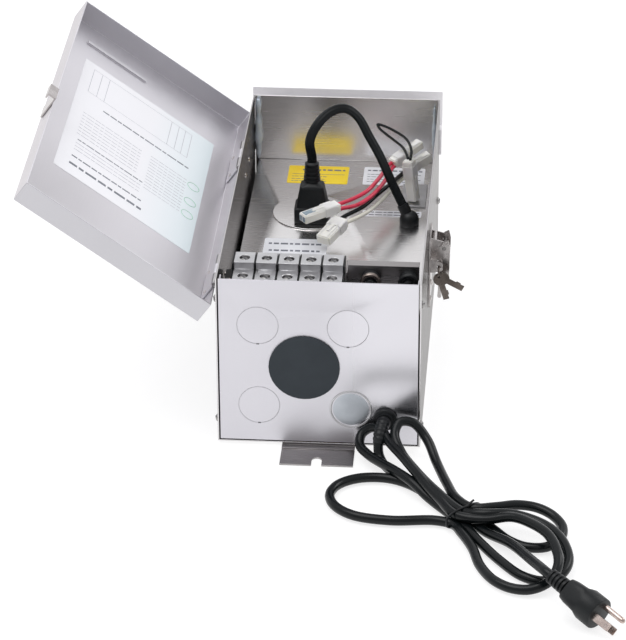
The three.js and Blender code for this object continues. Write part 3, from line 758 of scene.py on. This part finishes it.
DECK_LABELS = [
    # name, x0, x1, y0, y1, sheet, rows of bars
    ("yellow_label", 34, 89.5, 311, 347, "yellow",
     [(47, 86, 339, 2.8, 4), (38, 86, 330, 0.6, 0), (38, 70, 325, 1, 3), (38, 68, 320, 1, 4),
      (38, 70, 315.5, 1, 3)]),
    ("upper_label", 103.4, 159.6, 312, 348, "label",
     [(107, 157, 341, 2.6, 4), (107, 156, 333, 1, 3), (107, 154, 328, 1, 4),
      (107, 156, 323, 1, 3), (107, 152, 318, 1, 4)]),
    ("strip_label", 107, 160, 248, 260, "label",
     [(109, 158, 256.6, 1.8, 4), (109, 158, 251.6, 1.8, 4)]),
    ("timer_label", 24, 80, 168, 200, "label",
     [(28, 76, 190, 3, 4), (29, 74, 177, 3, 4)]),
]


def make_deck_labels():
    """Thin plates on the deck, with one mesh for the print of all of them."""
    printed = []
    for name, x0, x1, y0, y1, sheet, rows in DECK_LABELS:
        middle = case_matrix((x0 + x1) / 2, (y0 + y1) / 2, DECK_TOP + 0.02)
        plate = rounded_plate(name, middle, x1 - x0, y1 - y0, 1.6)
        finish_piece(plate, sheet, "case", smooth=False)
        printed += bars(deck_place, rows)
    finish_piece(blocks("deck_print", printed), "print", "case", smooth=False)


DOOR_HEADINGS = [
    # x0, x1, y, height, dash
    (68, 143, 112, 3.4, 7), (70, 142, 126, 2, 5), (34, 126, 234, 2, 6), (73, 141, 158, 1.6, 5),
]
DOOR_COLUMNS_X = (145, 136, 128, 60, 52, 45, 38)
DOOR_RINGS_Y = (207.6, 178, 154.3)


def door_place(x, y, lift):
    """A frame that far off the door's inner face."""
    return door_matrix(x, y, DOOR_INNER - lift)


def make_door_sheet():
    """The data sheet inside the door: plain bars and boxes in place of its print."""
    x_mid = (SHEET["x0"] + SHEET["x1"]) / 2
    y_mid = (SHEET["y0"] + SHEET["y1"]) / 2
    middle = door_matrix(x_mid, y_mid, DOOR_INNER - 0.02)
    plate = rounded_plate(
        "door_sheet", middle, SHEET["x1"] - SHEET["x0"], SHEET["y1"] - SHEET["y0"], 1
    )
    MATERIALS["sheet"] = make_sheet_material()
    finish_piece(plate, "sheet", "door", smooth=False)
    headings = blocks("door_print", bars(door_place, DOOR_HEADINGS))
    finish_piece(headings, "print", "door", smooth=False)
    faint = [(81, 144, 210 - 6 * i, 0.8, 5) for i in range(8)]
    faint += [(74, 142, 151 - 6 * i, 0.8, 6) for i in range(3)]
    faint += [(33, 72, 212 - 5.5 * i, 0.8, 5) for i in range(12)]
    faint += [(38, 145, y, 0.5, 0) for y in (297, 251)]
    boxes = blocks("door_table", bars(door_place, faint) + [
        (door_place(x, 274, PRINT_LIFT), (0.5, 46, PRINT_DEPTH), 0) for x in DOOR_COLUMNS_X
    ])
    finish_piece(boxes, "pale_print", "door", smooth=False)
    rings = [torus("ring", door_place(25.2, y, PRINT_LIFT), 6, 0.3, 40, 6) for y in DOOR_RINGS_Y]
    finish_piece(join_pieces("door_rings", rings), "green_print", "door")


def make_sheet_material():
    """White film that turns bluish towards the hinge."""
    material, tree, shader = new_material("sheet")
    place = tree.nodes.new("ShaderNodeTexCoord")
    split = tree.nodes.new("ShaderNodeSeparateXYZ")
    ramp = tree.nodes.new("ShaderNodeValToRGB")
    spread = tree.nodes.new("ShaderNodeMapRange")
    spread.inputs["From Min"].default_value = on_door(SHEET["x1"], 0).x
    spread.inputs["From Max"].default_value = on_door(SHEET["x0"], 0).x
    tree.links.new(place.outputs["Object"], split.inputs[0])
    tree.links.new(split.outputs["X"], spread.inputs["Value"])
    tree.links.new(spread.outputs["Result"], ramp.inputs["Fac"])
    ramp.color_ramp.elements[0].position = 0.55
    ramp.color_ramp.elements[0].color = (0.88, 0.88, 0.91, 1)
    ramp.color_ramp.elements[1].color = (0.76, 0.85, 0.88, 1)
    tree.links.new(ramp.outputs["Color"], shader.inputs["Base Color"])
    creases = add_noise(tree, 25, 2)
    add_bump(tree, shader, creases.outputs["Fac"], 0.1, 0.002)
    shader.inputs["Roughness"].default_value = 0.38
    return material


# ---- latch and keys ----
def make_latch():
    """The latch and the keys keep their CAD shapes, with broken edges."""
    for node in ("latch_base", "latch_lever", "draw_bail"):
        soften(node, "latch", 0.35)
    soften("lever_pin", "screw", 0.3)
    for node in ("key_ring", "key_1", "key_2"):
        soften(node, "key", 0.2)


# ---- terminals and breakers ----
BREAKER_BARREL = [
    (0.05, -1.8), (5.8, -1.8), (5.8, 0), (8.2, 0), (8.2, 6.6), (7.8, 7), (5.8, 7), (5.8, 10),
    (4.6, 10), (4.6, 1), (0.05, 1),
]
BREAKER_COLLAR = [
    (6.1, 7.2), (8.9, 7.2), (8.9, 9.4), (8.2, 10.2), (7.2, 10.4), (7.2, 9.6), (6.1, 9.6),
]
BREAKER_BOX = (16, 15, 20)


def make_terminals():
    """Stepped lugs on a black base, two screws to a lug and one in the base's ear."""
    soften("terminal_base", "black", 0.3)
    screws = []
    for i in range(LUG_COUNT):
        soften(f"terminal_lug_{i + 1}", "lug", 0.5)
        screws += [(at(LUG_X0 + i * LUG_PITCH, y, z), Vector((0, 0, 1))) for y, z in LUG_SCREWS]
    heads("terminal_screws", screws, 3.9, 2.6, "screw", "case", slotted=True)
    ear = [(at(6.4, 46.4, 132), Vector((0, 0, 1)))]
    heads("ear_screw", ear, 3.4, 2, "pin_metal", "case", slotted=True)


def make_breakers():
    """Each breaker has a threaded barrel through the panel, a collar, and a plain box behind."""
    for i, x in enumerate(BREAKERS_X, 1):
        place = frame_at(at(x, 60.7, BREAKER_Z), (0, -1, 0))
        piece = lathe(f"breaker_{i}_look", BREAKER_BARREL, place, 32)
        finish_piece(piece, "black", "case", [f"breaker_{i}"])
        box = blocks(f"breaker_box_{i}", [(case_matrix(x, 70.2, 119), BREAKER_BOX, 0.6)])
        finish_piece(box, "bracket", "case")
        soften(f"reset_button_{i}", "black", 0.7, 3)
        collar = lathe(f"breaker_collar_{i}", BREAKER_COLLAR, place, 36)
        finish_piece(collar, "collar" if i == 1 else "black", "case")


# ---- timer plug and its cord ----
TIMER_PLUG_BODY = [
    # half width, half depth, roundness, z
    (15.2, 11.5, 10, 95.9), (15.6, 11.8, 12, 97), (15.6, 11.8, 12, 108.4), (14.9, 11.2, 10, 109.8),
    (13.9, 10.6, 10, 110.2), (13.6, 10.3, 10, 112.4), (10.8, 8.6, 9, 127.6), (10.2, 8.2, 7, 129.6),
    (8.6, 7.2, 4, 130.9), (7, 6.2, 3, 131.6),
]
TIMER_CORD = [
    (63, 238, 150), (63, 238, 156), (61, 240, 171), (67, 246, 184), (79, 256, 193), (91, 261, 194),
    (102, 262, 186), (113, 256, 169), (123, 250, 153), (132, 244, 135), (140, 240, 119),
    (146, 236.6, 108),
]


def make_timer_plug():
    """A blocky plug that steps in to a neck with five ribs."""
    place = case_matrix(*TIMER_PLUG, 0)
    rings = [rounded_section(w, d, n, z, place) for w, d, n, z in TIMER_PLUG_BODY]
    for k in range(5):
        z = 133 + 3.7 * k
        narrow, wide = 6 - 0.15 * k, 7.5 - 0.3 * k
        for radius, lift in ((narrow, 0), (narrow, 0.8), (wide, 1.2), (wide, 2.9), (narrow, 3.3)):
            rings.append(rounded_section(radius, radius * 0.86, 2.3, z + lift, place))
    rings.append(rounded_section(4.7, 3.6, 2.2, 152, place))
    return finish_piece(loft("timer_plug_look", rings), "black", "case",
                        ["timer_plug"], angle=32)


def make_timer_cord(plug):
    """The flat cord's arch from the plug to the dome, in one fixed shape; the shutting door presses it down."""
    path = smooth_path([at(*p) for p in TIMER_CORD])
    cord = sweep("timer_cord_look", path, flat_cord_section(), (1, 0.05, 0))
    finish_piece(cord, "cord", "case", ["timer_cord"], angle=60)
    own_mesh(cord)


def flat_cord_section():
    """Three cores side by side under one jacket: an oval with two shallow grooves a side."""
    points = []
    for i in range(40):
        angle = 2 * math.pi * i / 40
        c, s = math.cos(angle), math.sin(angle)
        a = math.copysign(abs(c) ** 0.8, c) * 4.3
        b = math.copysign(abs(s) ** 0.8, s) * 2.6 * (0.9 + 0.1 * math.cos(2 * math.pi * a / 2.9))
        points.append((a, b))
    return points


def make_dome():
    """The rubber dome that the flat cord comes out of, with the sleeve on its shoulder."""
    profile = [(0.05, -2.8), (6.8, -2.8), (6.8, 0.2), (8.4, 0.2), (8.7, 1), (8.7, 5.4), (8.1, 8),
               (6.8, 10.4), (4.8, 12), (2.4, 12.8), (0.05, 13)]
    dome = lathe("cord_dome_look", profile, case_matrix(*DOME, DECK_TOP), 36)
    finish_piece(dome, "rubber", "case", ["cord_dome"], angle=60)
    path = smooth_path([at(149, 235.4, 100), at(146.6, 236.6, 106), at(143.6, 238.3, 112)], 1)
    sleeve = sweep("cord_dome_sleeve", path, circle(5.2, 20), (1, 0, 0))
    finish_piece(sleeve, "rubber", "case")


# ---- connectors and wires ----
CONNECTORS = [
    # name, start, end, width, height; the start is the open end
    ("connector_left_1", (58, 189, 120), (88, 212, 122), 11, 8),
    ("connector_left_2", (77, 175, 106), (92, 201, 113), 14, 9),
    ("connector_right_1", (156, 315, 136), (131.5, 290, 127), 9, 8),
    ("connector_right_2", (165, 304, 129), (146, 293, 120.5), 9, 9),
]
WIRES = [
    ("red_wire_1", "red", "red_jacket", [(87, 211.5, 123), (90, 213.5, 123.5), (101, 219, 126),
     (112, 229, 128.5), (121, 250, 130), (129.5, 287, 127.5), (132, 291, 127.4)]),
    ("red_wire_2", "red", "red_jacket", [(89, 208.6, 120.3), (91.5, 210, 120.5), (104, 214, 122),
     (115, 225, 124.5), (125, 250, 125.5), (132.5, 287, 124.5), (134.6, 291, 125)]),
    ("black_wire", "cord", "cord_jacket", [(91, 201.6, 114.5), (94, 204.5, 115.5),
     (110, 219, 118.5), (122, 240, 121), (133, 263, 121), (143.5, 290.5, 119.5),
     (146, 294, 120.4)]),
    ("white_wire", "white", "white_jacket", [(92, 197.4, 110.8), (95.5, 200, 111.5),
     (112, 216, 113.5), (124, 237, 115), (134, 262, 116.5), (144.3, 289.5, 115.7),
     (147.6, 293.4, 117.8)]),
]
JUMPER_WIRE = [
    (148.4, 279.2, 134), (148.5, 279, 137.3), (149, 288, 141), (144, 305, 144), (134, 318, 145),
    (122, 328, 146), (116, 331, 146), (118, 327, 144), (124, 320, 142), (133, 310, 140),
    (141, 298, 139), (145.5, 284, 137.3), (146.4, 281, 134),
]


def make_connector(name, start, end, width, height):
    """A nylon housing along start to end, with rails, a latch and a collar; gives its frame."""
    along = at(*end) - at(*start)
    length = along.length / MM
    x = along.normalized()
    y = Vector((0, 0, 1)).cross(x).normalized()
    z = x.cross(y)
    middle = at(*start) + along / 2
    place = Matrix.Translation(middle) @ Matrix((x, y, z)).transposed().to_4x4()
    items = [(moved(place, 0, 0, 0), (length, width, height), 0.9)]
    items.append((moved(place, length * 0.22, 0, 0), (length * 0.32, width + 1, height + 1), 0.6))
    items += [
        (moved(place, -length * 0.12, side * width * 0.3, height / 2), (length * 0.6, 1.1, 1), 0.3)
        for side in (-1, 1)
    ]
    items.append((moved(place, -length * 0.05, 0, height / 2 + 0.4), (length * 0.34, 3, 1.1), 0.4))
    finish_piece(blocks(f"{name}_look", items), "nylon", "case", [name])
    return place


def make_mouth(name, place, length, width, height):
    """The dark cells in a connector's open end, and the window above them."""
    mouth = [
        (moved(place, -length / 2, side * width * 0.22, 0), (0.5, width * 0.32, height * 0.6), 0.1)
        for side in (-1, 1)
    ]
    window = (moved(place, -length * 0.3, 0, height / 2), (length * 0.3, width * 0.62, 0.5), 0.2)
    finish_piece(blocks(f"{name}_mouth", [*mouth, window]), "socket", "case", smooth=False)


def make_wiring():
    """The four connectors, the jumper with its wire, and the wires between them."""
    for name, start, end, width, height in CONNECTORS:
        place = make_connector(name, start, end, width, height)
        if name == "connector_left_1":
            make_mouth(name, place, (at(*end) - at(*start)).length / MM, width, height)
    make_connector("jumper_connector", (152, 278, DECK_TOP + 2.8), (147, 280, 136), 10, 9)
    for name, material, slot, points in WIRES:
        path = smooth_path([at(*p) for p in points])
        wire = sweep(f"{name}_look", path, circle(WIRE_RADIUS, 14), (0, 1, 0))
        finish_piece(wire, material, "case", [name], angle=180)
    path = smooth_path([at(*p) for p in JUMPER_WIRE], 1)
    wire = sweep("jumper_wire_look", path, circle(JUMPER_RADIUS, 12), (1, 0, 0))
    finish_piece(wire, "cord", "case", ["jumper_wire"], angle=180)


# ---- mains lead ----
BOOT = [(142, -1, 30), (140.6, -10, 30), (138.6, -18, 26), (137.6, -24, 19)]
GLAND_NUT = [(7.6, 0.3), (10, 0.3), (10.2, 0.8), (10.2, 2.7), (9.8, 3.3), (7.9, 3.5), (7.6, 6)]


def tied(offset, height):
    """Where a strand passes through the tie, offset across the bundle."""
    return (TIE[0] + TIE_ACROSS[0] * offset, TIE[1] + TIE_ACROSS[1] * offset, height)


# The cord's stretches in order, each from one pass through the tie to the next.
LEAD = [(138.1, -20.5, 23.4), (137.6, -25.2, 17.6), (138.4, -29, 12), (141.6, -34.5, 8),
        (146.6, -41.8, 6.5), (163, -57, 5.1), (184, -76, 5.1), (203, -94, 5.1)]
LOOP_RIGHT_FAR = [(238, -130, 5.1), (250, -145, 5.1), (264, -154, 5.2), (280, -153, 5.2),
                  (291, -141, 5.6), (293, -125, 7), (285, -111, 9), (272, -103, 11),
                  (256, -102, 12.5), (239, -107, 13)]
LOOP_TOP = [(206, -95, 12), (197, -70, 11), (187, -38, 12), (178, -18, 22), (166, -9, 32),
            (155, -10, 33), (151, -20, 27), (157, -36, 20), (170, -60, 17), (188, -88, 15)]
LOOP_RIGHT_NEAR = [(228, -123, 16), (251, -122, 16), (272, -130, 15), (287, -144, 14),
                   (296, -163, 12), (298, -182, 9), (291, -197, 6.5), (278, -203, 5),
                   (262, -197, 5.1), (244, -176, 5.1), (226, -148, 5.1)]
LOOP_INNER = [(197, -103, 5.1), (182, -86, 7), (168, -71, 12), (154, -56, 12.6), (141, -41, 11),
              (129, -27, 10.5), (121.5, -15, 12.5), (122.5, -6.5, 18), (130, -5, 23.5),
              (139, -11, 25.5), (147, -26, 22.5),
              (160, -48, 21), (176, -74, 17), (192, -98, 13)]
LOOP_BOTTOM = [(230, -128.5, 14), (252, -133, 20), (268, -145, 22), (281, -160, 22),
               (288, -178, 20), (290, -196, 16), (283, -211, 10), (269, -217, 6), (254, -215, 5.1),
               (240, -205, 5.1), (228, -184, 5.1), (221, -160, 6.4), (212, -139, 6.4)]
LOOP_LEFT = [(189, -118.5, 5.1), (153, -121, 5.1), (122, -115, 5.1), (106, -101, 5.1),
             (101, -84, 5.1), (107, -68, 5.1), (123, -57, 5.1), (145, -55, 5.1), (163, -62, 5.1),
             (186, -83, 5.1), (202, -100, 5.1)]
TAIL = [(231, -134, 5.6), (251.2, -161.5, 13), (269.8, -200.6, 22)]
PLUG_GRIP = [
    # half width, half depth, roundness, distance from the face
    (6.6, 6.2, 2.6, -34.6), (10.2, 9.2, 4, -33), (11.8, 10.2, 4.5, -28), (12.6, 10.8, 4.5, -20),
    (12.8, 11.2, 4, -17), (13.2, 12.6, 2.4, -15.4), (13.4, 13.4, 2, -13.6), (13.4, 13.4, 2, -1),
    (12.9, 12.9, 2, -0.2), (12.2, 12.2, 2, 0),
]
EARTH_PIN = [(2.4, 0), (2.4, 18.4), (2.1, 19.8), (1.3, 20.8), (0.1, 21)]


def behind_face(distance):
    """A point on the plug's axis, in millimetres behind its face."""
    return at(*PLUG_FACE) - PLUG_AXIS * distance * MM


def cord_route():
    """The cord from the gland, through its tied loops, to inside the plug's neck."""
    route = [
        *LEAD, tied(10.4, 5.1),
        *LOOP_RIGHT_FAR, tied(9, 12.4),
        *LOOP_TOP, tied(-1, 12.4),
        *LOOP_RIGHT_NEAR, tied(-4.8, 5.1),
        *LOOP_INNER, tied(-8.6, 12.4),
        *LOOP_BOTTOM, tied(-12.4, 5.1),
        *LOOP_LEFT, tied(2.8, 5.1),
        *TAIL,
    ]
    return [at(*p) for p in route] + [behind_face(PLUG_LENGTH + 5), behind_face(PLUG_LENGTH - 3)]


def make_cord():
    """The mains cord with what is on it: plug, contacts, tie and gland."""
    path = smooth_path(cord_route(), 3)
    data = bpy.data.curves.new("mains_cord", "CURVE")
    data.dimensions = "3D"
    spline = data.splines.new("POLY")
    spline.points.add(len(path) - 1)
    for point, place in zip(spline.points, path):
        point.co = (*place, 1)
    data.bevel_depth = CORD_DIAMETER / 2 * MM
    data.bevel_resolution = 5
    data.use_fill_caps = True
    cord = object_from("mains_cord", data)
    finish_piece(cord, "cord", "case", ["cord_lead", "cord_hank", "cord_tail"])
    plug, contacts = make_plug()
    tie = make_tie()
    make_gland()


def make_tie():
    """A black wire tie round the bundle, with its twisted ends on top."""
    points = []
    for i in range(41):
        angle = 2 * math.pi * i / 40
        across = math.copysign(abs(math.cos(angle)) ** 0.7, math.cos(angle)) * 18.3 - 1
        height = 9.2 + math.copysign(abs(math.sin(angle)) ** 0.7, math.sin(angle)) * 7.6
        points.append(at(*tied(across, height)))
    ring = sweep("tie_ring", points, circle(1.0, 10), (0.68, -0.73, 0))
    path = smooth_path([at(*tied(3, 16.2)), at(*tied(7, 18.6)), at(*tied(10, 19.6))])
    tail = sweep("tie_end", path, circle(0.9, 14), (0, 1, 0))
    tie = join_pieces("cord_tie", [ring, tail])
    return finish_piece(tie, "rubber", "case", angle=180)


def make_gland():
    """A nut on the plate and a ribbed boot that tapers along the cord's first bend."""
    place = frame_at(at(GLAND[0], 0, GLAND[1]), (0, -1, 0))
    collar = lathe("gland_nut", GLAND_NUT, place, 28)
    path = smooth_path([at(*p) for p in BOOT], 0.7)
    rings = []
    side = Vector((1, 0, 0))
    for i, point in enumerate(path):
        t = i / (len(path) - 1)
        ahead = (path[min(i + 1, len(path) - 1)] - path[max(i - 1, 0)]).normalized()
        side = (side - ahead * side.dot(ahead)).normalized()
        thick = ahead.cross(side)
        rib = 0.45 if 0.12 < t < 0.92 and int(t * 16) % 2 else 0
        radius = 5.7 - 1.0 * t + rib
        rings.append([point + (side * a + thick * b) * MM for a, b in circle(radius, 24)])
    boot = join_pieces("gland_look", [collar, loft("boot", rings)])
    finish_piece(boot, "rubber", "case", ["gland"], angle=40)


def make_plug():
    """A moulded plug: ribbed neck, flat-sided grip, round face, two blades and an earth pin."""
    side = PLUG_EARTH.cross(PLUG_AXIS).normalized()
    up = PLUG_AXIS.cross(side).normalized()
    place = Matrix.Translation(at(*PLUG_FACE)) @ Matrix((side, up, PLUG_AXIS)).transposed().to_4x4()
    rings = [rounded_section(4.7, 4.7, 2, -PLUG_LENGTH, place)]
    for k in range(5):
        z = -53.4 + 3.7 * k
        narrow, wide = 5 + 0.1 * k, 6.2 + 0.15 * k
        for radius, lift in ((narrow, 0), (wide, 0.5), (wide, 2.2), (narrow, 2.8)):
            rings.append(rounded_section(radius, radius, 2.2, z + lift, place))
    rings += [rounded_section(w, d, n, z, place) for w, d, n, z in PLUG_GRIP]
    plug = finish_piece(loft("plug_look", rings), "black", "case", ["plug_body"],
                        angle=38)
    blades = blocks("blades", [
        (moved(place, s * 6.35, -3.5, 8.5), (1.5, 6.2, 17), 0.35) for s in (-1, 1)
    ])
    pin = lathe("pin", EARTH_PIN, moved(place, 0, 7.5, 0), 24)
    contacts = finish_piece(join_pieces("contacts_look", [blades, pin]), "pin_metal", "case",
                            ["plug_contacts"])
    across = Matrix.Rotation(math.pi / 2, 4, "Y")
    holes = [
        torus("hole", moved(place, s * 6.35, -3.5, 13.4) @ across, 1.3, 0.8, 20, 8)
        for s in (-1, 1)
    ]
    finish_piece(join_pieces("contact_holes", holes), "groove", "case")
    return plug, contacts


# ---- build ----
make_camera()
make_world()
make_floor()
make_lights()
make_cord()
make_case()
make_knockouts()
make_case_fixings()
make_silicone()
make_door()
make_deck_labels()
make_latch()
make_terminals()
make_breakers()
make_timer_cord(make_timer_plug())
make_dome()
make_wiring()
